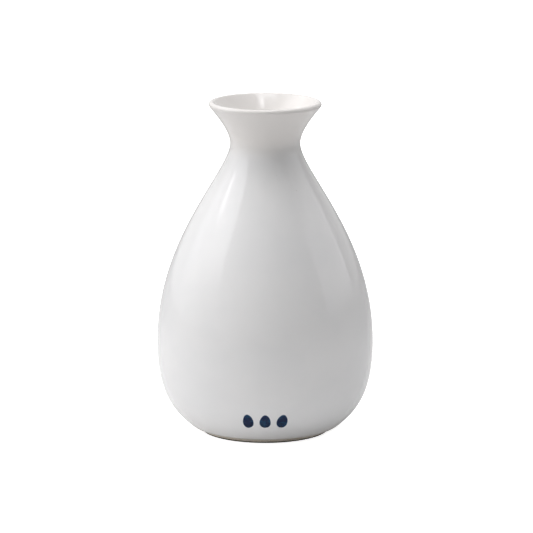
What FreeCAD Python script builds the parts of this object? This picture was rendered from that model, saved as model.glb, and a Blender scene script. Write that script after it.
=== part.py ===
import FreeCAD, Part
import math
import os
from collections import namedtuple

# Sake bottle (tokkuri) of glazed white porcelain.  All sizes are in millimetres.
#
# Frame: the origin is the centre of the plane the foot ring stands on, +Z points up
# along the bottle's axis, and the front, which carries the painted mark, faces -Y.
#
# The bottle is one slip-cast porcelain body under three separate coats of glaze:
# one outside, one inside and one in the recess of the foot.  The foot ring stays
# bare, because it stands on the kiln shelf.  Three cobalt-blue grains are painted
# low on the front and lie flush in the outer glaze.

# ---- outline of the finished outside ---------------------------------------------

# A knot is a point where two arcs of the outline meet.  Slope is the angle of the
# outline there, in degrees above horizontal, going up and out from the foot.  Before
# and after say how strongly the arcs on either side hold that slope.  Wall is the
# finished wall there, with the glaze on both sides.
Knot = namedtuple("Knot", "radius height slope before after wall")

LIP_EDGE_RADIUS = 1.12
LIP_RADIUS = 21.2
LIP_CENTRE_HEIGHT = 125.05
LIP_SLOPE = 50.4
LIP_CENTRE_RADIUS = LIP_RADIUS - LIP_EDGE_RADIUS

FOOT = Knot(radius=24.2, height=1.8, slope=0, before=0, after=3.3, wall=3.2)
HEEL = Knot(radius=31.4, height=5.3, slope=43.4, before=5.1, after=7.6, wall=3.2)
BELLY = Knot(radius=41.0, height=34.4, slope=90, before=16.5, after=39.3, wall=3.0)
WAIST = Knot(radius=13.25, height=110.35, slope=90, before=10.75, after=4.35, wall=3.0)
FLARE = Knot(
    radius=LIP_CENTRE_RADIUS + LIP_EDGE_RADIUS * math.sin(math.radians(LIP_SLOPE)),
    height=LIP_CENTRE_HEIGHT - LIP_EDGE_RADIUS * math.cos(math.radians(LIP_SLOPE)),
    slope=LIP_SLOPE,
    before=4.75,
    after=0,
    wall=2 * LIP_EDGE_RADIUS,
)

# ---- glaze, floor and foot --------------------------------------------------------

GLAZE = 0.3

FLOOR_HEIGHT = 5.2
FLOOR_RADIUS = 22.0
FLOOR_HANDLE = 3.6
FLOOR_HEEL_HANDLE = 3.6

RECESS_RADIUS = 20.8
RECESS_ROOF_HEIGHT = 2.1
RECESS_FILLET = 1.0
RECESS_GLAZE_START = 0.9
FOOT_EDGE_ROUND = 0.5

# ---- painted mark -----------------------------------------------------------------

MARK_GRAINS = 3
GRAIN_WIDTH = 4.4
GRAIN_LENGTH = 7.5
GRAIN_SPACING = 6.4
MARK_HEIGHT = 11.1
MARK_DEPTH = 0.1
FRONT_ANGLE = -90

# ---- construction -----------------------------------------------------------------

# Points per arc when a layer under the surface is drawn through offset points.
LAYER_POINTS = 25

# The prism that cuts out a grain reaches this far to either side of the surface.
CUTTER_REACH = 1.0

# How closely a height is located along an arc, as a share of the arc.
CLOSE_ENOUGH = 1e-9

AXIS_POINT = FreeCAD.Vector(0, 0, 0)
AXIS = FreeCAD.Vector(0, 0, 1)


# ---- drawing in the half section --------------------------------------------------

def point(radius, height):
    """A point of the half section, which lies in the XZ plane."""
    return FreeCAD.Vector(radius, 0, height)


def heading(angle):
    """A unit vector in the half section, at this many degrees above +X."""
    return point(math.cos(math.radians(angle)), math.sin(math.radians(angle)))


def position(knot, depth=0.0):
    """A knot's place, moved this far into the wall."""
    return point(knot.radius, knot.height) + heading(knot.slope + 90) * depth


def bezier(start, start_slope, start_handle, end, end_slope, end_handle):
    """A cubic curve with the given slopes and handle lengths at its ends."""
    curve = Part.BezierCurve()
    curve.setPoles([
        start,
        start + heading(start_slope) * start_handle,
        end - heading(end_slope) * end_handle,
        end,
    ])
    return curve


def outline_arc(lower, upper):
    """The stretch of the outline between two knots."""
    return bezier(position(lower), lower.slope, lower.after,
                  position(upper), upper.slope, upper.before)


def offset_arc(arc, start_depth, end_depth):
    """The arc moved sideways into the wall, with the depth eased from end to end."""
    points = []
    for index in range(LAYER_POINTS):
        share = index / (LAYER_POINTS - 1)
        eased = share * share * (3 - 2 * share)
        depth = start_depth + (end_depth - start_depth) * eased
        along = arc.tangent(share)[0]
        into_wall = point(-along.z, along.x)
        points.append(arc.value(share) + into_wall * depth)
    layer = Part.BSplineCurve()
    layer.interpolate(
        Points=points,
        InitialTangent=arc.tangent(0)[0],
        FinalTangent=arc.tangent(1)[0],
    )
    return layer


def round_arc(centre, radius, start_angle, end_angle):
    """A circular arc between two angles, in degrees above +X."""
    middle_angle = (start_angle + end_angle) / 2
    return Part.Arc(centre + heading(start_angle) * radius,
                    centre + heading(middle_angle) * radius,
                    centre + heading(end_angle) * radius)


def polyline(*corners):
    """Straight edges through the corners."""
    return [Part.makeLine(start, end) for start, end in zip(corners, corners[1:])]


def edges(*curves):
    """The edges of several curves."""
    return [curve.toShape() for curve in curves]


def spin(section_edges):
    """The solid swept by a closed half section turned around the bottle's axis."""
    outline = Part.Wire(Part.__sortEdges__(section_edges))
    solid = Part.Face(outline).revolve(AXIS_POINT, AXIS, 360)
    if solid.Volume < 0:
        solid.reverse()
    return solid


# ---- the surfaces between the layers ------------------------------------------------

UNDERSIDE = outline_arc(FOOT, HEEL)
LOWER_BODY = outline_arc(HEEL, BELLY)
SHOULDER = outline_arc(BELLY, WAIST)
NECK = outline_arc(WAIST, FLARE)

LIP_CENTRE = point(LIP_CENTRE_RADIUS, LIP_CENTRE_HEIGHT)
LIP_OUTER_ANGLE = LIP_SLOPE - 90
LIP_CREST_ANGLE = 90
LIP_INNER_ANGLE = LIP_SLOPE + 90


def surface_under_outer_glaze():
    """Where the porcelain meets the outer glaze, from the foot to the lip."""
    return [offset_arc(arc, GLAZE, GLAZE) for arc in (UNDERSIDE, LOWER_BODY, SHOULDER, NECK)]


def cavity_surface(glaze_under):
    """The cavity's wall from the floor's edge to the lip, this far back from the cavity."""
    heel_inside = position(HEEL, HEEL.wall)
    floor_edge = bezier(point(FLOOR_RADIUS, FLOOR_HEIGHT), 0, FLOOR_HANDLE,
                        heel_inside, HEEL.slope, FLOOR_HEEL_HANDLE)
    surface = [offset_arc(floor_edge, -glaze_under, -glaze_under)]
    for arc, lower, upper in ((LOWER_BODY, HEEL, BELLY),
                              (SHOULDER, BELLY, WAIST),
                              (NECK, WAIST, FLARE)):
        surface.append(offset_arc(arc, lower.wall - glaze_under, upper.wall - glaze_under))
    return surface


def floor_line(glaze_under):
    """The flat floor's line from the axis to where its edge curves up."""
    height = FLOOR_HEIGHT - glaze_under
    return polyline(point(0, height), point(FLOOR_RADIUS, height))


def recess_roof(glaze_under):
    """The foot recess's line from the axis to its upright wall, and the wall's top end."""
    roof_height = RECESS_ROOF_HEIGHT + glaze_under
    fillet_radius = RECESS_FILLET + glaze_under
    fillet_centre = point(RECESS_RADIUS - RECESS_FILLET, RECESS_ROOF_HEIGHT - RECESS_FILLET)
    roof = polyline(point(0, roof_height), point(fillet_centre.x, roof_height))
    fillet = round_arc(fillet_centre, fillet_radius, 90, 0)
    wall_top = fillet_centre + heading(0) * fillet_radius
    return roof + edges(fillet), wall_top


# ---- the pieces ---------------------------------------------------------------------

def make_porcelain_body():
    """The cast and fired body, with its foot ring, neck and rounded lip."""
    roof, wall_top = recess_roof(GLAZE)
    ring_inner_radius = RECESS_RADIUS + GLAZE
    inner_round = round_arc(point(ring_inner_radius + FOOT_EDGE_ROUND, FOOT_EDGE_ROUND),
                            FOOT_EDGE_ROUND, 180, 270)
    outer_round = round_arc(point(FOOT.radius - FOOT_EDGE_ROUND, FOOT_EDGE_ROUND),
                            FOOT_EDGE_ROUND, 270, 360)
    foot_ring = (
        polyline(wall_top, point(ring_inner_radius, FOOT_EDGE_ROUND))
        + edges(inner_round)
        + polyline(point(ring_inner_radius + FOOT_EDGE_ROUND, 0),
                   point(FOOT.radius - FOOT_EDGE_ROUND, 0))
        + edges(outer_round)
        + polyline(point(FOOT.radius, FOOT_EDGE_ROUND), position(FOOT, GLAZE))
    )
    lip = round_arc(LIP_CENTRE, LIP_EDGE_RADIUS - GLAZE, LIP_OUTER_ANGLE, LIP_INNER_ANGLE)
    axis_line = polyline(point(0, RECESS_ROOF_HEIGHT + GLAZE), point(0, FLOOR_HEIGHT - GLAZE))
    return spin(
        roof + foot_ring
        + edges(*surface_under_outer_glaze())
        + edges(lip)
        + edges(*cavity_surface(GLAZE))
        + floor_line(GLAZE) + axis_line
    )


def lip_glaze(start_angle, end_angle):
    """The two sides of the glaze over a part of the lip's rounded edge."""
    return edges(round_arc(LIP_CENTRE, LIP_EDGE_RADIUS, start_angle, end_angle),
                 round_arc(LIP_CENTRE, LIP_EDGE_RADIUS - GLAZE, start_angle, end_angle))


def glaze_end(from_point, towards_angle):
    """The short straight edge where a coat of glaze ends."""
    return polyline(from_point, from_point + heading(towards_angle) * GLAZE)


def lip_crest():
    """The edge on the lip's crest where the outer and the inner glaze meet."""
    crest = LIP_CENTRE + heading(LIP_CREST_ANGLE) * (LIP_EDGE_RADIUS - GLAZE)
    return glaze_end(crest, LIP_CREST_ANGLE)


def make_outer_glaze():
    """The outer coat, from the corner above the foot ring to the lip's crest."""
    return spin(
        edges(UNDERSIDE, LOWER_BODY, SHOULDER, NECK)
        + lip_glaze(LIP_OUTER_ANGLE, LIP_CREST_ANGLE)
        + lip_crest()
        + edges(*surface_under_outer_glaze())
        + glaze_end(position(FOOT), 90)
    )


def make_inner_glaze():
    """The inner coat, from the lip's crest down the throat and across the floor."""
    axis_line = glaze_end(point(0, FLOOR_HEIGHT - GLAZE), 90)
    return spin(
        floor_line(0) + edges(*cavity_surface(0))
        + lip_glaze(LIP_CREST_ANGLE, LIP_INNER_ANGLE)
        + lip_crest()
        + floor_line(GLAZE) + edges(*cavity_surface(GLAZE))
        + axis_line
    )


def make_foot_recess_glaze():
    """The coat in the foot recess, which ends part of the way down the ring's inside."""
    visible_roof, visible_wall_top = recess_roof(0)
    hidden_roof, hidden_wall_top = recess_roof(GLAZE)
    visible_end = point(visible_wall_top.x, RECESS_GLAZE_START)
    hidden_end = point(hidden_wall_top.x, RECESS_GLAZE_START)
    return spin(
        visible_roof
        + polyline(visible_wall_top, visible_end, hidden_end, hidden_wall_top)
        + hidden_roof
        + glaze_end(point(0, RECESS_ROOF_HEIGHT), 90)
    )


# ---- the painted mark ---------------------------------------------------------------

def parameter_at_height(arc, height):
    """Where an arc that rises steadily reaches a height, from 0 at its foot to 1."""
    low, high = 0.0, 1.0
    while high - low > CLOSE_ENOUGH:
        middle = (low + high) / 2
        if arc.value(middle).z < height:
            low = middle
        else:
            high = middle
    return low


def grain_cutter(arc, height, turn):
    """An oval prism that stands square on the surface, turned around the bottle's axis."""
    parameter = parameter_at_height(arc, height)
    centre = arc.value(parameter)
    along = arc.tangent(parameter)[0]
    outward = point(along.z, -along.x)
    base = centre - outward * CUTTER_REACH
    oval = Part.Ellipse(base + along * (GRAIN_LENGTH / 2),
                        base + FreeCAD.Vector(0, GRAIN_WIDTH / 2, 0),
                        base)
    prism = Part.Face(Part.Wire(oval.toShape())).extrude(outward * 2 * CUTTER_REACH)
    prism.rotate(AXIS_POINT, AXIS, turn)
    return prism


def make_blue_mark():
    """The painted grains, side by side on the front, as thin as paint in the glaze."""
    skin = spin(
        edges(LOWER_BODY, offset_arc(LOWER_BODY, MARK_DEPTH, MARK_DEPTH))
        + polyline(position(HEEL), position(HEEL, MARK_DEPTH))
        + polyline(position(BELLY), position(BELLY, MARK_DEPTH))
    )
    surface_radius = LOWER_BODY.value(parameter_at_height(LOWER_BODY, MARK_HEIGHT)).x
    turn_per_grain = math.degrees(GRAIN_SPACING / surface_radius)
    grains = []
    for index in range(MARK_GRAINS):
        steps_from_middle = index - (MARK_GRAINS - 1) / 2
        turn = FRONT_ANGLE + steps_from_middle * turn_per_grain
        cutter = grain_cutter(LOWER_BODY, MARK_HEIGHT, turn)
        grains += skin.common(cutter).Solids
    return Part.makeCompound(grains)


# ---- build and write ------------------------------------------------------------------

blue_mark = make_blue_mark()

pieces = {
    "porcelain_body": make_porcelain_body(),
    "outer_glaze": make_outer_glaze().cut(blue_mark),
    "inner_glaze": make_inner_glaze(),
    "foot_recess_glaze": make_foot_recess_glaze(),
    "blue_mark": blue_mark,
}

os.makedirs("parts", exist_ok=True)
for name, shape in pieces.items():
    shape.exportStep("parts/" + name + ".step")
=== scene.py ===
import math

import bmesh
import bpy
import numpy as np
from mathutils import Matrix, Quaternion, Vector


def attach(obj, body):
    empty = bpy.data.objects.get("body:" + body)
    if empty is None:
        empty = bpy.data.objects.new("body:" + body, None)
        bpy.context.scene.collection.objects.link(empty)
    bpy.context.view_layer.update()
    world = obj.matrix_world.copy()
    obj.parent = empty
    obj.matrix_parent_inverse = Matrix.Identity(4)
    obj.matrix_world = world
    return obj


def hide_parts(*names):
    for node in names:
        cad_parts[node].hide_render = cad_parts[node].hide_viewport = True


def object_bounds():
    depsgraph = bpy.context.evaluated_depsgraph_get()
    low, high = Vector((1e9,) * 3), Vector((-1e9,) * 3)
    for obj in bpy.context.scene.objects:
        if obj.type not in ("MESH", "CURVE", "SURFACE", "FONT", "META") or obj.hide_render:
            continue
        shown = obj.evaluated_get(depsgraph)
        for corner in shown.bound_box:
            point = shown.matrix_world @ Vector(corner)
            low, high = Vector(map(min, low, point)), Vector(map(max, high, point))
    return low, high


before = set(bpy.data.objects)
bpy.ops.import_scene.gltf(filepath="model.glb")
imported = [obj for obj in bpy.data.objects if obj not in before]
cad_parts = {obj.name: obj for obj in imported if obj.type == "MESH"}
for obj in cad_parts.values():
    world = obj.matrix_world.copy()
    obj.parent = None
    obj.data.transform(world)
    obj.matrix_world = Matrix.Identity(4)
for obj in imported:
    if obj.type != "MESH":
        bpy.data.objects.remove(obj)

# A glazed white porcelain sake bottle on a pale floor.  Lengths are in metres, and the
# frame is the CAD model's: origin in the middle of the foot, +Z up, front facing -Y.
#
# Each piece is turned from the section of the CAD node it replaces, and then pushed a
# hair out of shape, the way firing and glazing do it.

MM = 0.001
cad_low, cad_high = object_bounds()
height = cad_high.z
SEED = 7
random = np.random.default_rng(SEED)

# ---- how finely the pieces are meshed ------------------------------------------------

SEGMENTS = 360                    # faces around the axis
FINE = 1.1 * MM                   # mesh spacing along a visible outline
FINEST = 0.3 * MM                 # the same, under the painted grains
COARSE = 3.0 * MM                 # mesh spacing along a hidden outline
CORNER_ANGLE = math.radians(50)   # a sharper turn than this is a corner of a section
SHARP_ANGLE = math.radians(40)    # a sharper edge than this is not smoothed over
TINY = 1e-6                       # a length below this counts as none
SAME_PLACE = 1e-7                 # points this near each other are one point

# ---- what the finished surface adds to the CAD shape ---------------------------------

WARP_DEPTH = 0.05 * MM            # how far firing pulled the whole body out of round
WARP_EASE = 10 * MM               # the warp starts from nothing at the axis and the foot
MOUTH_OVAL = 0.10 * MM            # how far the mouth is out of round
MOUTH_OVAL_TURN = 0.6             # which way the oval lies, in radians
RIPPLE_DEPTH = 0.012 * MM         # the soft ripple of the outer glaze
GRIT_DEPTH = 0.015 * MM           # the grain of the bare foot ring

BEAD_DROP = 0.20 * MM             # how far the glaze runs down the foot ring's wall
BEAD_THICKNESS = 0.08 * MM
BEAD_FILLET = 0.10 * MM
BEAD_WAVER = 0.08 * MM            # the unevenness of the glaze line
BEAD_STEPS = 6                    # faces around the bead's tip
BEAD_FILLET_STEPS = 8

PAINT_RISE = 0.016 * MM           # how far the painted grains stand above the glaze
PAINT_DEPTH = 0.08 * MM           # how deep they reach into it
PAINT_MARGIN = 2.5 * MM           # how far the finest mesh goes on beyond the grains
PAINT_SLOPE_START = 0.62          # share of the way to the rim where the paint thins out
PAINT_SLOPE_END = 0.97            # share of the way where its surface meets the glaze
PAINT_TAPER = 0.12                # how much narrower a grain is at its top than its foot
PAINT_SIZE = 0.98                 # the brushed outline's size beside the CAD grain's
PAINT_BENDS = [(2, 0.022), (3, 0.022), (5, 0.007)]    # its bends: count around, and size
PAINT_RINGS = 22
PAINT_SPOKES = 96


# ---- sections of the CAD nodes -------------------------------------------------------

def section_links(node):
    """Places and neighbours of the points where the half plane y = 0, x > 0 cuts a node."""
    shape = bmesh.new()
    shape.from_mesh(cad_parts[node].data)
    bmesh.ops.remove_doubles(shape, verts=shape.verts, dist=SAME_PLACE)
    everything = shape.verts[:] + shape.edges[:] + shape.faces[:]
    cut = bmesh.ops.bisect_plane(shape, geom=everything, dist=SAME_PLACE,
                                 plane_co=(0, 0, 0), plane_no=(0, 1, 0))
    shape.verts.index_update()
    places, links = {}, {}
    for edge in cut["geom_cut"]:
        if not isinstance(edge, bmesh.types.BMEdge):
            continue
        if max(vert.co.x for vert in edge.verts) < TINY:
            continue
        for vert in edge.verts:
            places[vert.index] = (max(vert.co.x, 0.0), vert.co.z)
            links.setdefault(vert.index, set()).add(edge.other_vert(vert).index)
    shape.free()
    return places, links


def cad_section(node):
    """The outline (radius, height) of a CAD node's half section, and whether it is a loop.

    The points go round the section in order.  A section that touches the axis starts
    and ends there; any other is a loop, whose first point isn't repeated at the end.
    """
    places, links = section_links(node)
    ends = [index for index, near in links.items() if len(near) == 1]
    here = ends[0] if ends else next(iter(links))
    order = [here]
    seen = {here}
    while True:
        onward = [index for index in links[here] if index not in seen]
        if not onward:
            break
        here = onward[0]
        seen.add(here)
        order.append(here)
    return np.array([places[index] for index in order]), not ends


def corners_of(points, is_loop):
    """Which points end a smooth stretch: sharp corners, and the ends of straight runs."""
    before = points - np.roll(points, 1, axis=0)
    after = np.roll(points, -1, axis=0) - points
    cross = before[:, 0] * after[:, 1] - before[:, 1] * after[:, 0]
    turns = np.abs(np.arctan2(cross, (before * after).sum(1)))
    straight = np.abs(after).min(1) < TINY
    corner = (turns > CORNER_ANGLE) | straight | np.roll(straight, 1)
    if not is_loop:
        corner[[0, -1]] = True
    return np.flatnonzero(corner)


def stretches(node):
    """A node's section as smooth stretches between its corners, in order around it."""
    points, is_loop = cad_section(node)
    corners = corners_of(points, is_loop)
    if is_loop:
        points = np.roll(points, -corners[0], axis=0)
        points = np.vstack([points, points[:1]])
        corners = np.append(corners - corners[0], len(points) - 1)
    return [points[start:end + 1] for start, end in zip(corners, corners[1:])]


def straight_line(points, spacing):
    """More points along straight runs."""
    runs = []
    for start, end in zip(points, points[1:]):
        steps = max(1, math.ceil(np.linalg.norm(end - start) / spacing))
        runs.append(np.linspace(start, end, steps, endpoint=False))
    return np.vstack(runs + [points[-1:]])


def smooth_curve(points, spacing):
    """More points along a stretch, on the cubic spline through the ones it has."""
    count = len(points)
    if count < 4:
        return straight_line(points, spacing)
    gaps = np.linalg.norm(np.diff(points, axis=0), axis=1)
    slopes = np.diff(points, axis=0) / gaps[:, None]
    matrix = np.zeros((count, count))
    target = np.zeros((count, 2))
    for i in range(1, count - 1):
        matrix[i, i - 1:i + 2] = gaps[i - 1], 2 * (gaps[i - 1] + gaps[i]), gaps[i]
        target[i] = 6 * (slopes[i] - slopes[i - 1])
    matrix[0, :2] = 1, -1
    matrix[-1, -2:] = -1, 1
    bend = np.linalg.solve(matrix, target)
    runs = []
    for i, gap in enumerate(gaps):
        steps = max(3, math.ceil(gap / spacing))
        along = (np.arange(steps) / steps * gap)[:, None]
        left = gap - along
        runs.append((bend[i] * left ** 3 + bend[i + 1] * along ** 3) / (6 * gap)
                    + (points[i] / gap - bend[i] * gap / 6) * left
                    + (points[i + 1] / gap - bend[i + 1] * gap / 6) * along)
    return np.vstack(runs + [points[-1:]])


def joined(parts):
    """One outline from stretches that follow on, without repeating where they meet."""
    return np.vstack([part[:-1] for part in parts[:-1]] + [parts[-1]])


def arc(centre, radius, start_angle, end_angle, steps):
    """Points on a circular arc, with the angles in degrees above the radius axis."""
    angles = np.radians(np.linspace(start_angle, end_angle, steps + 1))
    return np.array(centre) + radius * np.stack([np.cos(angles), np.sin(angles)], 1)


# ---- turning a section into a mesh ---------------------------------------------------

def turned_mesh(name, outline, is_loop):
    """A closed mesh from a section turned around the axis, and its points as an array."""
    turns = np.arange(SEGMENTS) * (2 * math.pi / SEGMENTS)
    rings, points = [], []
    for radius, level in outline:
        if radius < TINY:
            rings.append([len(points)])
            points.append((0.0, 0.0, level))
            continue
        rings.append(list(range(len(points), len(points) + SEGMENTS)))
        points += [(radius * math.cos(turn), radius * math.sin(turn), level) for turn in turns]
    pairs = list(zip(rings, rings[1:]))
    if is_loop:
        pairs.append((rings[-1], rings[0]))
    faces = []
    for lower, upper in pairs:
        for i in range(SEGMENTS):
            k = (i + 1) % SEGMENTS
            if len(lower) == 1:
                faces.append((lower[0], upper[k], upper[i]))
            elif len(upper) == 1:
                faces.append((lower[i], lower[k], upper[0]))
            else:
                faces.append((lower[i], lower[k], upper[k], upper[i]))
    mesh = bpy.data.meshes.new(name)
    mesh.from_pydata(points, [], faces)
    return mesh, np.array(points)


def finished_piece(name, mesh, points, node, material):
    """The object for a mesh, with its final points, its place in the frame and its material."""
    mesh.vertices.foreach_set("co", points.astype(np.float32).ravel())
    shape = bmesh.new()
    shape.from_mesh(mesh)
    bmesh.ops.recalc_face_normals(shape, faces=shape.faces)
    shape.to_mesh(mesh)
    shape.free()
    mesh.shade_smooth()
    mesh.set_sharp_from_angle(angle=SHARP_ANGLE)
    mesh.materials.append(material)
    piece = bpy.data.objects.new(name, mesh)
    bpy.context.scene.collection.objects.link(piece)
    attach(piece, "root")
    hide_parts(node)


# ---- the unevenness of a fired and glazed piece --------------------------------------

def wave_field(count, longest, shortest):
    """Random plane waves whose lengths lie between two sizes, as (vectors, phases)."""
    directions = random.normal(size=(count, 3))
    directions /= np.linalg.norm(directions, axis=1)[:, None]
    lengths = np.exp(random.uniform(math.log(shortest), math.log(longest), count))
    return directions * (2 * math.pi / lengths)[:, None], random.uniform(0, 2 * math.pi, count)


def wave_height(field, points):
    """The field's height at the points, mostly between -1 and 1."""
    vectors, phases = field
    return np.sin(points @ vectors.T + phases).sum(1) / math.sqrt(len(phases))


WARP_FIELD = wave_field(count=6, longest=90 * MM, shortest=45 * MM)
RIPPLE_FIELD = wave_field(count=24, longest=26 * MM, shortest=8 * MM)
BEAD_FIELD = wave_field(count=12, longest=30 * MM, shortest=4 * MM)
GRIT_FIELD = wave_field(count=40, longest=3.0 * MM, shortest=0.8 * MM)


def pushed_out(points, push):
    """The points moved away from the axis, easing to nothing on the axis itself."""
    radius = np.hypot(points[:, 0], points[:, 1])
    scale = push * np.minimum(radius / WARP_EASE, 1) / np.maximum(radius, TINY)
    moved = points.copy()
    moved[:, 0] += points[:, 0] * scale
    moved[:, 1] += points[:, 1] * scale
    return moved


def warp_push(points):
    """How far firing pushed each place out of round: all the layers there move together."""
    around = np.arctan2(points[:, 1], points[:, 0])
    above_foot = np.clip(points[:, 2] / WARP_EASE, 0, 1)
    oval = MOUTH_OVAL * (points[:, 2] / height) ** 4 * np.cos(2 * around + MOUTH_OVAL_TURN)
    return WARP_DEPTH * wave_height(WARP_FIELD, points) * above_foot + oval


def ripple_push(points):
    """The glaze surface's own soft ripple."""
    return RIPPLE_DEPTH * wave_height(RIPPLE_FIELD, points)


# ---- the outer glaze -----------------------------------------------------------------

def outer_glaze_parts():
    """The outer coat's section from the foot up: visible side, crest, hidden side, foot end."""
    parts = stretches("outer_glaze")
    first = max(range(len(parts)), key=lambda i: parts[i][:, 0].max())
    parts = parts[first:] + parts[:first]
    if parts[0][0, 1] > parts[0][-1, 1]:
        parts = [part[::-1] for part in parts]
        parts = parts[:1] + parts[:0:-1]
    return parts


OUTER_VISIBLE, _, OUTER_HIDDEN, _ = outer_glaze_parts()
FOOT_WALL_RADIUS, GLAZE_CORNER_HEIGHT = OUTER_VISIBLE[0]

OUTLINE = smooth_curve(OUTER_VISIBLE, FINEST)
OUTLINE_STEPS = np.linalg.norm(np.diff(OUTLINE, axis=0), axis=1)
OUTLINE_LENGTH = np.concatenate([[0], np.cumsum(OUTLINE_STEPS)])
OUTLINE_SLOPE = np.gradient(OUTLINE, OUTLINE_LENGTH, axis=0)


def painted_grains():
    """Where the CAD's painted grains are, as (angle, half width, bottom, top) for each."""
    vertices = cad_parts["blue_mark"].data.vertices
    places = np.array([vertex.co for vertex in vertices])
    angles = np.arctan2(places[:, 1], places[:, 0])
    order = np.argsort(angles)
    gaps = np.diff(angles[order])
    splits = np.sort(np.argsort(gaps)[-2:]) + 1
    grains = []
    for group in np.split(order, splits):
        outward = np.hypot(places[group, 0], places[group, 1]).max()
        middle = (angles[group].max() + angles[group].min()) / 2
        half_width = (angles[group].max() - angles[group].min()) / 2 * outward
        grains.append((middle, half_width, places[group, 2].min(), places[group, 2].max()))
    return grains


GRAINS = painted_grains()


def outer_surface():
    """The outer coat's visible outline, with finer steps where the grains are painted."""
    coarse = smooth_curve(OUTER_VISIBLE, FINE)
    low = min(bottom for _, _, bottom, _ in GRAINS) - PAINT_MARGIN
    high = max(top for _, _, _, top in GRAINS) + PAINT_MARGIN
    return np.vstack([coarse[coarse[:, 1] < low],
                      OUTLINE[(OUTLINE[:, 1] >= low) & (OUTLINE[:, 1] <= high)],
                      coarse[coarse[:, 1] > high]])


def make_outer_glaze(material):
    """The outer coat, with the rounded bead it forms on the foot ring's wall."""
    fillet_centre = (FOOT_WALL_RADIUS + BEAD_THICKNESS + BEAD_FILLET,
                     GLAZE_CORNER_HEIGHT - BEAD_FILLET)
    tip_centre = (FOOT_WALL_RADIUS, GLAZE_CORNER_HEIGHT - BEAD_DROP + BEAD_THICKNESS)
    tip = arc(tip_centre, BEAD_THICKNESS, -90, 0, BEAD_STEPS)
    fillet = arc(fillet_centre, BEAD_FILLET, 180, 90, BEAD_FILLET_STEPS)
    surface = outer_surface()
    clear_of_fillet = np.argmax(surface[:, 0] > fillet[-1, 0] + FINE / 2)
    hidden = smooth_curve(OUTER_HIDDEN, COARSE)
    outline = np.vstack([tip, fillet, surface[clear_of_fillet:], hidden])
    mesh, points = turned_mesh("outer_glaze_coat", outline, is_loop=True)
    low = np.clip((GLAZE_CORNER_HEIGHT - points[:, 2]) / BEAD_DROP, 0, 1)
    waver = BEAD_WAVER * wave_height(BEAD_FIELD, points * (1, 1, 0)) * low
    is_visible = np.arange(len(points)) < SEGMENTS * (len(outline) - len(hidden))
    finished = pushed_out(points, warp_push(points) + ripple_push(points) * is_visible)
    finished[:, 2] += waver
    finished_piece("outer_glaze_coat", mesh, finished, "outer_glaze", material)


# ---- the inner glaze, the recess glaze and the body ----------------------------------

def grit_push(points):
    """The faint unevenness of the bare ring the bottle stands on."""
    near_floor = np.clip(1 - points[:, 2] / GLAZE_CORNER_HEIGHT, 0, 1)
    return GRIT_DEPTH * wave_height(GRIT_FIELD, points) * near_floor


def make_turned_piece(name, node, material, extra_push=None):
    """A piece turned straight from its CAD node's section, warped with the rest."""
    outline = joined([smooth_curve(part, FINE) for part in stretches(node)])
    mesh, points = turned_mesh(name, outline, is_loop=False)
    push = warp_push(points)
    if extra_push is not None:
        push += extra_push(points)
    finished_piece(name, mesh, pushed_out(points, push), node, material)


# ---- the painted grains --------------------------------------------------------------

def glaze_places(angles, distances):
    """Places and outward directions on the outer glaze, before it warps.

    The distances are measured along the outline from its low end.
    """
    radius, level = (np.interp(distances, OUTLINE_LENGTH, OUTLINE[:, i]) for i in (0, 1))
    along = [np.interp(distances, OUTLINE_LENGTH, OUTLINE_SLOPE[:, i]) for i in (0, 1)]
    places = np.stack([radius * np.cos(angles), radius * np.sin(angles), level], 1)
    outward = np.stack([along[1] * np.cos(angles), along[1] * np.sin(angles), -along[0]], 1)
    return places, outward / np.linalg.norm(outward, axis=1)[:, None]


def brush_outline(turns):
    """How far a brushed grain's rim is from its middle at each turn, about 1 all round."""
    wobble = sum(size * np.sin(count * turns + random.uniform(0, 2 * math.pi))
                 for count, size in PAINT_BENDS)
    return PAINT_SIZE + wobble


def dab_points(middle, half_width, bottom, top):
    """The points of one dab, front then back, with their shares of the way out and up.

    Each side is a middle point with rings of points around it.  The share of the way
    out is 0 in the middle and 1 on the rim; the share of the way up is 0 in the middle.
    """
    low, high = np.interp((bottom, top), OUTLINE[:, 1], OUTLINE_LENGTH)
    turns = np.arange(PAINT_SPOKES) * (2 * math.pi / PAINT_SPOKES)
    rim = brush_outline(turns)
    shares = np.linspace(0, 1, PAINT_RINGS + 1)[1:]
    out = np.concatenate([[0], np.repeat(shares, PAINT_SPOKES)])
    across = out * half_width * np.append(0, np.tile(rim * np.cos(turns), PAINT_RINGS))
    up = out / 2 * np.append(0, np.tile(rim * np.sin(turns), PAINT_RINGS))
    across *= 1 - PAINT_TAPER * up
    distances = (low + high) / 2 + up * (high - low)
    radius = np.interp(distances, OUTLINE_LENGTH, OUTLINE[:, 0])
    places, outward = glaze_places(middle + across / radius, distances)
    thinning = (out - PAINT_SLOPE_START) / (PAINT_SLOPE_END - PAINT_SLOPE_START)
    rise = PAINT_RISE * (1 - np.clip(thinning, 0, None) ** 2)
    front = pushed_out(places, warp_push(places) + ripple_push(places))
    front += outward * rise[:, None]
    back = pushed_out(places, warp_push(places)) - outward * PAINT_DEPTH
    return np.vstack([front, back]), np.tile(out, 2), np.tile(up, 2)


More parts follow.
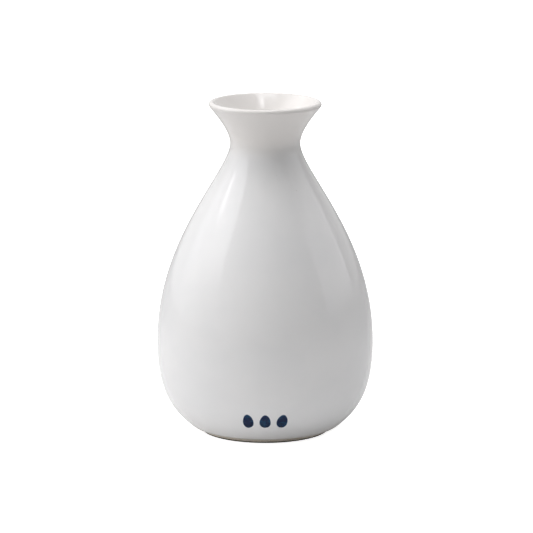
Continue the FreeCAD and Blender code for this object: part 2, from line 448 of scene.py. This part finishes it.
def dab_faces(start):
    """The faces of one dab: a front and a back disc of rings, joined round the rim."""
    faces = []
    back = start + 1 + PAINT_RINGS * PAINT_SPOKES
    for k in range(PAINT_SPOKES):
        n = (k + 1) % PAINT_SPOKES
        faces.append((start, start + 1 + k, start + 1 + n))
        faces.append((back, back + 1 + n, back + 1 + k))
        for ring in range(PAINT_RINGS - 1):
            inner, outer = 1 + ring * PAINT_SPOKES, 1 + (ring + 1) * PAINT_SPOKES
            faces.append((start + inner + k, start + outer + k,
                          start + outer + n, start + inner + n))
            faces.append((back + inner + k, back + inner + n,
                          back + outer + n, back + outer + k))
        edge = 1 + (PAINT_RINGS - 1) * PAINT_SPOKES
        faces.append((start + edge + k, back + edge + k, back + edge + n, start + edge + n))
    return faces


def make_blue_mark(material):
    """Three dabs of blue, a hair thicker than the glaze they lie in."""
    dabs = [dab_points(*grain) for grain in GRAINS]
    faces = []
    start = 0
    for points, _, _ in dabs:
        faces += dab_faces(start)
        start += len(points)
    points, out, up = (np.concatenate(values) for values in zip(*dabs))
    mesh = bpy.data.meshes.new("blue_mark_dabs")
    mesh.from_pydata(points.tolist(), [], faces)
    for name, values in (("share_out", out), ("share_up", up)):
        layer = mesh.attributes.new(name, "FLOAT", "POINT")
        layer.data.foreach_set("value", values.astype(np.float32))
    finished_piece("blue_mark_dabs", mesh, points, "blue_mark", material)


# ---- node trees ----------------------------------------------------------------------

class Tree:
    """Short ways to write a node tree."""

    def __init__(self, tree):
        self.tree = tree

    def add(self, kind, **settings):
        node = self.tree.nodes.new(kind)
        for key, value in settings.items():
            setattr(node, key, value)
        return node

    def put(self, value, socket):
        """Link an output, or set a plain value."""
        if isinstance(value, bpy.types.NodeSocket):
            self.tree.links.new(value, socket)
        elif isinstance(value, tuple) and len(value) == 3 and socket.type == "RGBA":
            socket.default_value = (*value, 1)
        else:
            socket.default_value = value

    def ramp(self, value, low, high, start=0.0, end=1.0):
        """The value mapped smoothly from low..high to start..end."""
        node = self.add("ShaderNodeMapRange", interpolation_type="SMOOTHSTEP")
        for key, setting in (("Value", value), ("From Min", low), ("From Max", high),
                             ("To Min", start), ("To Max", end)):
            self.put(setting, node.inputs[key])
        return node.outputs["Result"]

    def math(self, operation, first, second):
        node = self.add("ShaderNodeMath", operation=operation)
        self.put(first, node.inputs[0])
        self.put(second, node.inputs[1])
        return node.outputs[0]

    def vector_math(self, operation, first, second):
        node = self.add("ShaderNodeVectorMath", operation=operation)
        self.put(first, node.inputs[0])
        self.put(second, node.inputs[1])
        return node

    def blend(self, share, first, second):
        """A colour between two others."""
        node = self.add("ShaderNodeMix", data_type="RGBA")
        self.put(share, node.inputs["Factor"])
        self.put(first, node.inputs["A"])
        self.put(second, node.inputs["B"])
        return node.outputs["Result"]

    def part(self, axis, vector):
        """One component of a vector."""
        node = self.add("ShaderNodeSeparateXYZ")
        self.put(vector, node.inputs[0])
        return node.outputs[axis]

    def is_camera(self):
        """1 for what the camera sees directly, 0 for what lights the bottle."""
        return self.add("ShaderNodeLightPath").outputs["Is Camera Ray"]


class Surface(Tree):
    """The node tree of one material."""

    def __init__(self, name):
        self.material = bpy.data.materials.new(name)
        self.material.use_nodes = True
        super().__init__(self.material.node_tree)
        self.shader = self.tree.nodes["Principled BSDF"]
        self.place = self.add("ShaderNodeTexCoord").outputs["Object"]

    def noise(self, size, detail=3.0, roughness=0.5):
        """Noise from 0 to 1 whose grains are about as big as size."""
        node = self.add("ShaderNodeTexNoise")
        self.put(self.place, node.inputs["Vector"])
        self.put(1 / size, node.inputs["Scale"])
        self.put(detail, node.inputs["Detail"])
        self.put(roughness, node.inputs["Roughness"])
        return node.outputs["Fac"]

    def cells(self, size):
        """The distance from the nearest of points scattered about one per size cubed."""
        node = self.add("ShaderNodeTexVoronoi")
        self.put(self.place, node.inputs["Vector"])
        self.put(1 / size, node.inputs["Scale"])
        return node.outputs["Distance"]

    def wavering(self, value, size, reach):
        """The value raised by up to reach, by noise of a size."""
        return self.math("ADD", value, self.math("MULTIPLY", self.noise(size), reach))

    def level(self):
        """The height above the floor."""
        return self.part("Z", self.place)

    def radius(self):
        """The distance from the axis."""
        flat = self.vector_math("MULTIPLY", self.place, (1.0, 1.0, 0.0))
        length = self.add("ShaderNodeVectorMath", operation="LENGTH")
        self.put(flat.outputs[0], length.inputs[0])
        return length.outputs["Value"]

    def attribute(self, name):
        return self.add("ShaderNodeAttribute", attribute_name=name).outputs["Fac"]

    def bump(self, *layers):
        """Bump from (height, depth) layers on top of each other."""
        normal = None
        for layer, depth in layers:
            node = self.add("ShaderNodeBump")
            self.put(layer, node.inputs["Height"])
            self.put(depth, node.inputs["Distance"])
            if normal is not None:
                self.put(normal, node.inputs["Normal"])
            normal = node.outputs["Normal"]
        self.put(normal, self.shader.inputs["Normal"])

    def finish(self, colour, roughness):
        self.put(colour, self.shader.inputs["Base Color"])
        self.put(roughness, self.shader.inputs["Roughness"])
        return self.material


# ---- materials -----------------------------------------------------------------------

# A pair of values is where a change starts and where it is complete.

MOST_NOISE = (0.3, 0.7)           # most of a noise lies between these

GLAZE_WHITE = (0.836, 0.834, 0.832)
GLAZE_WHITE_COOL = (0.812, 0.813, 0.814)
GLAZE_THIN = (0.70, 0.65, 0.575)
GLAZE_NECK_WARM = (0.846, 0.821, 0.797)
SPECK = (0.50, 0.47, 0.43)
BARE_PALE = (0.85, 0.80, 0.73)
BARE_TAN = (0.78, 0.71, 0.62)
# Toasted colour of the bare porcelain's grains, and also of the painted shade just below the
# glaze line.
BARE_TOASTED_AND_SHADE = (0.40, 0.33, 0.25)
# Painted contact shadow: the dark colour along the ring's bottom edge, where it meets the floor.
BARE_CONTACT_SHADOW = (0.075, 0.070, 0.045)
COBALT_DEEP = (0.0008, 0.0020, 0.010)
COBALT = (0.0010, 0.0100, 0.052)
COBALT_TEAL = (0.0010, 0.048, 0.110)
COBALT_WASH = (0.045, 0.110, 0.240)

GLAZE_IOR = 1.5
GLAZE_SWELL = 9 * MM              # how long the glaze's slow swells are
GLAZE_SWELL_DEPTH = 0.020 * MM
GLAZE_DIMPLE = 1.6 * MM           # how wide its finest dimples are
GLAZE_DIMPLE_DEPTH = 0.0016 * MM
GLOSS_PATCH = 14 * MM             # how big its glossier and duller patches are
GLOSS_ROUGHNESS = (0.02, 0.04)

CLOUD_SIZE = 22 * MM              # the clouding between the two whites
CLOUD_NOISE = (0.38, 0.66)
SPECK_SPACING = 9 * MM
SPECK_EDGE = (0.012, 0.022)       # a speck's core and its rim, in shares of the spacing
SPECK_STRENGTH = 0.55
# The white turns warmer from a little below the lip upwards, inside and out: where it starts and
# where it is complete.
WARM_BELOW_LIP = (18 * MM, 8 * MM)
WARM_WAVER = 8 * MM              # how far the start of the warmer tint wanders up and down
WARM_WAVER_SIZE = 25 * MM
THIN_ABOVE_EDGE = (0.2 * MM, 1.5 * MM)
THIN_STRENGTH = 0.85
THIN_WAVER = 0.3 * MM
THIN_WAVER_SIZE = 3 * MM

MOTTLE_SIZE = 4 * MM              # the mottling between the two bare colours
MOTTLE_NOISE = (0.35, 0.65)
GRAIN_SPACING = 0.5 * MM
GRAIN_EDGE = (0.12, 0.30)
GRAIN_STRENGTH = 0.55
# The band just below the glaze line: partly a toasted colour, partly painted shade under the
# glaze's edge.
TOASTED_AND_SHADE_HEIGHTS = (1.35 * MM, 1.70 * MM)
TOASTED_AND_SHADE_STRENGTH = 0.75
# Where the painted contact shadow lies: its heights, and how far inside the foot wall it starts.
CONTACT_SHADOW_HEIGHTS = (0.85 * MM, 0.60 * MM)
CONTACT_SHADOW_INSIDE_WALL = (1.1 * MM, 0.8 * MM)
BARE_WAVER = 0.3 * MM             # how far the heights above wander up and down
BARE_WAVER_SIZE = 2.5 * MM
PIT_SIZE = 0.9 * MM
PIT_DEPTH = 0.05 * MM
SAND_SIZE = 0.35 * MM
SAND_DEPTH = 0.03 * MM
BARE_PATCH = 1.5 * MM             # how big the rougher and smoother patches are
BARE_ROUGHNESS = (0.7, 0.92)

PAINT_SPECULAR = 0.25             # the painted surface reflects half as much as glaze
TEAL_SIZE = 2.6 * MM              # how big the patches of teal in the blue are
TEAL_NOISE = (0.40, 0.66)
POOL_SIZE = 1.4 * MM              # the unevenness of the dark pool low in each grain
POOL_SHARES = (0.35, 0.0)
POOL_STRENGTH = 0.85
WASH_SIZE = 0.8 * MM              # the fine streaks where the paint is thin
WASH_NOISE = (0.58, 0.80)
WASH_STRENGTH = 0.35
RIM_WAVER = 0.06                  # how far the shares below wander in and out
RIM_WAVER_SIZE = 0.7 * MM
RIM_WASH_SHARES = (0.86, 0.93)
RIM_WHITE_SHARES = (0.91, 0.97)


def glaze_gloss(mat):
    """The fired gloss shared by the white and the painted glaze: its bump and roughness."""
    mat.put(GLAZE_IOR, mat.shader.inputs["IOR"])
    mat.bump((mat.noise(GLAZE_SWELL, detail=1.0), GLAZE_SWELL_DEPTH),
             (mat.noise(GLAZE_DIMPLE, detail=2.0), GLAZE_DIMPLE_DEPTH))
    return mat.ramp(mat.noise(GLOSS_PATCH, detail=5.0), *MOST_NOISE, *GLOSS_ROUGHNESS)


def white_glaze(name, edge_height):
    """Smooth white glaze: faintly clouded, with a stray speck, thin and warm at its low edge."""
    mat = Surface(name)
    clouds = mat.ramp(mat.noise(CLOUD_SIZE, detail=4.0), *CLOUD_NOISE)
    colour = mat.blend(clouds, GLAZE_WHITE, GLAZE_WHITE_COOL)
    specks = mat.ramp(mat.cells(SPECK_SPACING), *SPECK_EDGE, SPECK_STRENGTH, 0.0)
    colour = mat.blend(specks, colour, SPECK)
    # Warmer tint from a little below the lip upwards.
    neck = mat.wavering(mat.level(), WARM_WAVER_SIZE, WARM_WAVER)
    warm_near_lip = mat.ramp(neck, *(height - below for below in WARM_BELOW_LIP))
    colour = mat.blend(warm_near_lip, colour, GLAZE_NECK_WARM)
    edge = mat.wavering(mat.level(), THIN_WAVER_SIZE, THIN_WAVER)
    thin = mat.ramp(edge, *(edge_height + above for above in THIN_ABOVE_EDGE),
                    THIN_STRENGTH, 0.0)
    colour = mat.blend(thin, colour, GLAZE_THIN)
    return mat.finish(colour, glaze_gloss(mat))


def bare_porcelain():
    """Unglazed porcelain: tan, rough and grained; toasted and darkened by painted shade just
    below the glaze line, with a painted contact shadow along its bottom edge.
    """
    mat = Surface("bare_porcelain")
    mottle = mat.ramp(mat.noise(MOTTLE_SIZE, detail=6.0, roughness=0.6), *MOTTLE_NOISE)
    colour = mat.blend(mottle, BARE_PALE, BARE_TAN)
    grains = mat.ramp(mat.cells(GRAIN_SPACING), *GRAIN_EDGE, GRAIN_STRENGTH, 0.0)
    colour = mat.blend(grains, colour, BARE_TOASTED_AND_SHADE)
    level = mat.wavering(mat.level(), BARE_WAVER_SIZE, BARE_WAVER)
    # A band just below the glaze line: partly toasted colour, partly painted shade under the
    # glaze's edge.
    toasted_and_shade = mat.ramp(level, *TOASTED_AND_SHADE_HEIGHTS, 0.0, TOASTED_AND_SHADE_STRENGTH)
    colour = mat.blend(toasted_and_shade, colour, BARE_TOASTED_AND_SHADE)
    # Painted contact shadow: darkens the outer bottom edge of the ring where it stands on the
    # floor.
    outside = mat.ramp(mat.radius(), *(FOOT_WALL_RADIUS - inside for inside in CONTACT_SHADOW_INSIDE_WALL))
    contact_shadow = mat.math("MULTIPLY", mat.ramp(level, *CONTACT_SHADOW_HEIGHTS), outside)
    colour = mat.blend(contact_shadow, colour, BARE_CONTACT_SHADOW)
    mat.bump((mat.noise(PIT_SIZE, detail=4.0, roughness=0.65), PIT_DEPTH),
             (mat.cells(SAND_SIZE), SAND_DEPTH))
    return mat.finish(colour, mat.ramp(mat.noise(BARE_PATCH), *MOST_NOISE, *BARE_ROUGHNESS))


def cobalt_blue():
    """Brushed cobalt under the same gloss: pooled dark low down, washed out at the rim."""
    mat = Surface("cobalt_blue")
    teal = mat.ramp(mat.noise(TEAL_SIZE, detail=4.0, roughness=0.6), *TEAL_NOISE)
    colour = mat.blend(teal, COBALT, COBALT_TEAL)
    pool = mat.wavering(mat.attribute("share_up"), POOL_SIZE, 1.0)
    colour = mat.blend(mat.ramp(pool, *POOL_SHARES, 0.0, POOL_STRENGTH), colour, COBALT_DEEP)
    wash = mat.ramp(mat.noise(WASH_SIZE), *WASH_NOISE, 0.0, WASH_STRENGTH)
    colour = mat.blend(wash, colour, COBALT_WASH)
    out = mat.wavering(mat.attribute("share_out"), RIM_WAVER_SIZE, RIM_WAVER)
    colour = mat.blend(mat.ramp(out, *RIM_WASH_SHARES), colour, COBALT_WASH)
    colour = mat.blend(mat.ramp(out, *RIM_WHITE_SHARES), colour, GLAZE_WHITE)
    mat.put(PAINT_SPECULAR, mat.shader.inputs["Specular IOR Level"])
    return mat.finish(colour, glaze_gloss(mat))


# ---- the pieces ----------------------------------------------------------------------

NO_EDGE = -height                 # an edge height for a coat that shows no thin edge
RECESS_EDGE = min(vertex.co.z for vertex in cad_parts["foot_recess_glaze"].data.vertices)

make_outer_glaze(white_glaze("outer_white_glaze", GLAZE_CORNER_HEIGHT - BEAD_DROP))
make_turned_piece("inner_glaze_coat", "inner_glaze", white_glaze("inner_white_glaze", NO_EDGE))
make_turned_piece("foot_recess_coat", "foot_recess_glaze",
                  white_glaze("recess_white_glaze", RECESS_EDGE))
make_turned_piece("porcelain_cast_body", "porcelain_body", bare_porcelain(), grit_push)
make_blue_mark(cobalt_blue())

# ---- camera --------------------------------------------------------------------------

CAMERA_DISTANCE = 1.54            # from the place it aims at
CAMERA_ELEVATION = math.radians(11.69)
CAMERA_LENS = 274.8               # focal length in mm, on a 36 mm sensor
CAMERA_AIM = Vector((0.5 * MM, 0, 0.498 * height))


def make_camera():
    camera = bpy.data.objects.new("camera", bpy.data.cameras.new("camera"))
    bpy.context.scene.collection.objects.link(camera)
    camera.data.lens = CAMERA_LENS
    back = Vector((0, -math.cos(CAMERA_ELEVATION), math.sin(CAMERA_ELEVATION)))
    camera.location = CAMERA_AIM + back * CAMERA_DISTANCE
    camera.rotation_euler = (-back).to_track_quat("-Z", "Y").to_euler()
    bpy.context.scene.camera = camera


make_camera()

# ---- floor and room ------------------------------------------------------------------

WHITE = (1.0, 1.0, 1.0)
FLOOR_REACH = 6.0                 # from the middle to each side
FLOOR_NEAR = (0.83, 0.83, 0.83)   # its colour beside the bottle, for the light it bounces
FLOOR_FAR = (0.46, 0.46, 0.46)    # and away from it
FLOOR_FADE = (0.10, 0.45)         # the distances between which the one turns to the other
FLOOR_SEEN = (0.78, 0.78, 0.78)   # its colours in the camera's eyes
FLOOR_SEEN_PALE = (0.80, 0.80, 0.80)
FLOOR_CLOUD_SIZE = 60 * MM
FLOOR_ROUGHNESS = 0.9
FLOOR_LIFT = 0.86                 # light added to the floor in the camera's eyes only
FOOT_GLOW = 0.06                  # light the floor throws up at the foot ring
FOOT_GLOW_COLOUR = (1.0, 0.93, 0.84)
FOOT_GLOW_FADE = (0.025, 0.042)   # the distances between which that light gives out
ROOM_COLOUR = (1.0, 0.994, 0.984)
ROOM_GLOW = 0.75
ROOM_DARK_GLOW = 0.03
ROOM_DARK_AZIMUTH = 62            # where the room is darkest, in degrees
ROOM_DARK_ELEVATION = 0
ROOM_EVEN_BEYOND = -0.2           # cosine of the angle from there at which it's full glow


def direction_to(azimuth, elevation):
    """The unit vector from the bottle to a place; azimuth 0 is in front, 90 on the right."""
    turn, lift = math.radians(azimuth), math.radians(elevation)
    return Vector((math.sin(turn) * math.cos(lift), -math.cos(turn) * math.cos(lift),
                   math.sin(lift)))


def make_floor():
    """A flat white floor that the camera sees over-exposed, with the contact shadow left in."""
    mesh = bpy.data.meshes.new("floor")
    mesh.from_pydata([(-FLOOR_REACH, -FLOOR_REACH, 0), (FLOOR_REACH, -FLOOR_REACH, 0),
                      (FLOOR_REACH, FLOOR_REACH, 0), (-FLOOR_REACH, FLOOR_REACH, 0)],
                     [], [(0, 1, 2, 3)])
    floor = bpy.data.objects.new("floor", mesh)
    bpy.context.scene.collection.objects.link(floor)
    mat = Surface("floor")
    is_camera = mat.is_camera()
    away = mat.radius()
    bounce = mat.blend(mat.ramp(away, *FLOOR_FADE), FLOOR_NEAR, FLOOR_FAR)
    seen = mat.blend(mat.noise(FLOOR_CLOUD_SIZE, detail=4.0), FLOOR_SEEN, FLOOR_SEEN_PALE)
    mat.put(0.0, mat.shader.inputs["Specular IOR Level"])
    mat.put(mat.blend(is_camera, FOOT_GLOW_COLOUR, WHITE), mat.shader.inputs["Emission Color"])
    glow = mat.ramp(away, *FOOT_GLOW_FADE, FOOT_GLOW, 0.0)
    lift = mat.math("MULTIPLY", is_camera, mat.math("SUBTRACT", FLOOR_LIFT, glow))
    mat.put(mat.math("ADD", glow, lift), mat.shader.inputs["Emission Strength"])
    mesh.materials.append(mat.finish(mat.blend(is_camera, bounce, seen), FLOOR_ROUGHNESS))


def make_room():
    """White behind the bottle for the camera; a dim room, darkest in front, for the rest."""
    world = bpy.data.worlds.new("world")
    bpy.context.scene.world = world
    world.use_nodes = True
    tree = Tree(world.node_tree)
    background = world.node_tree.nodes["Background"]
    is_camera = tree.is_camera()
    toward_dark = tree.vector_math("DOT_PRODUCT",
                                   tree.add("ShaderNodeTexCoord").outputs["Generated"],
                                   direction_to(ROOM_DARK_AZIMUTH, ROOM_DARK_ELEVATION))
    glow = tree.ramp(toward_dark.outputs["Value"], 1.0, ROOM_EVEN_BEYOND,
                     ROOM_DARK_GLOW, ROOM_GLOW)
    tree.put(tree.math("MAXIMUM", is_camera, glow), background.inputs["Strength"])
    tree.put(tree.blend(is_camera, ROOM_COLOUR, WHITE), background.inputs["Color"])


make_floor()
make_room()

# ---- lights --------------------------------------------------------------------------

LIGHT_DISTANCE = 1.2              # from the bottle's middle to each light's own
SOFTBOX_COLOUR = (0.98, 0.975, 1.0)


def softbox(name, azimuth, elevation, width, tall, glow, fades, tilt=0.0):
    """A rectangular light, LIGHT_DISTANCE away, that faces the bottle's middle.

    The fades are the shares of its width or height over which it dims towards its
    left, right, lower and upper edge, as seen from the bottle.
    """
    light = bpy.data.lights.new(name, "AREA")
    light.shape = "RECTANGLE"
    light.size, light.size_y = width, tall
    light.energy = glow * math.pi * width * tall
    light.color = SOFTBOX_COLOUR
    light.use_nodes = True
    tree = Tree(light.node_tree)
    place = tree.add("ShaderNodeNewGeometry").outputs["Parametric"]
    left, right, lower, upper = fades
    strength = 1.0
    for axis, edge, inside in (("X", 0, left), ("X", 1, 1 - right),
                               ("Y", 0, lower), ("Y", 1, 1 - upper)):
        strength = tree.math("MULTIPLY", strength,
                             tree.ramp(tree.part(axis, place), edge, inside))
    tree.put(strength, light.node_tree.nodes["Emission"].inputs["Strength"])
    lamp = bpy.data.objects.new(name, light)
    away = direction_to(azimuth, elevation)
    lamp.location = Vector((0, 0, height / 2)) + away * LIGHT_DISTANCE
    turned = Quaternion(away, math.radians(tilt))
    lamp.rotation_euler = (turned @ (-away).to_track_quat("-Z", "Y")).to_euler()
    lamp.visible_camera = False
    bpy.context.scene.collection.objects.link(lamp)


# The big softbox on the left, its brighter core, and the lamp that draws the streak in it.
softbox("key_softbox", azimuth=-94, elevation=29, width=1.474, tall=1.5, glow=1.31,
        fades=(0.25, 0.012, 0.65, 0.12), tilt=17.0)
softbox("key_core", azimuth=-81, elevation=34, width=0.852, tall=0.9, glow=0.92,
        fades=(0.60, 0.02, 0.50, 0.30), tilt=11.5)
softbox("key_lamp", azimuth=-95, elevation=34.5, width=0.34, tall=0.24, glow=3.0,
        fades=(0.5, 0.5, 0.5, 0.5), tilt=8)
# Lights from above.
softbox("high_left_softbox", azimuth=-95, elevation=69, width=0.40, tall=0.30, glow=1.4,
        fades=(0.3, 0.3, 0.3, 0.3))
softbox("top_softbox", azimuth=-10, elevation=86, width=0.7, tall=0.7, glow=4.1,
        fades=(0.2, 0.2, 0.2, 0.2))
softbox("high_right_lamp", azimuth=100, elevation=69, width=0.30, tall=0.24, glow=4.0,
        fades=(0.3, 0.3, 0.3, 0.3))
# The glint inside the mouth.
softbox("mouth_lamp", azimuth=12, elevation=71, width=0.15, tall=0.10, glow=3.6,
        fades=(0.3, 0.3, 0.3, 0.3))
# The white card on the right.
softbox("right_card", azimuth=96, elevation=22, width=1.17, tall=1.0, glow=0.88,
        fades=(0.08, 0.10, 0.3, 0.3))
bpy.context.scene.view_settings.view_transform = "Standard"
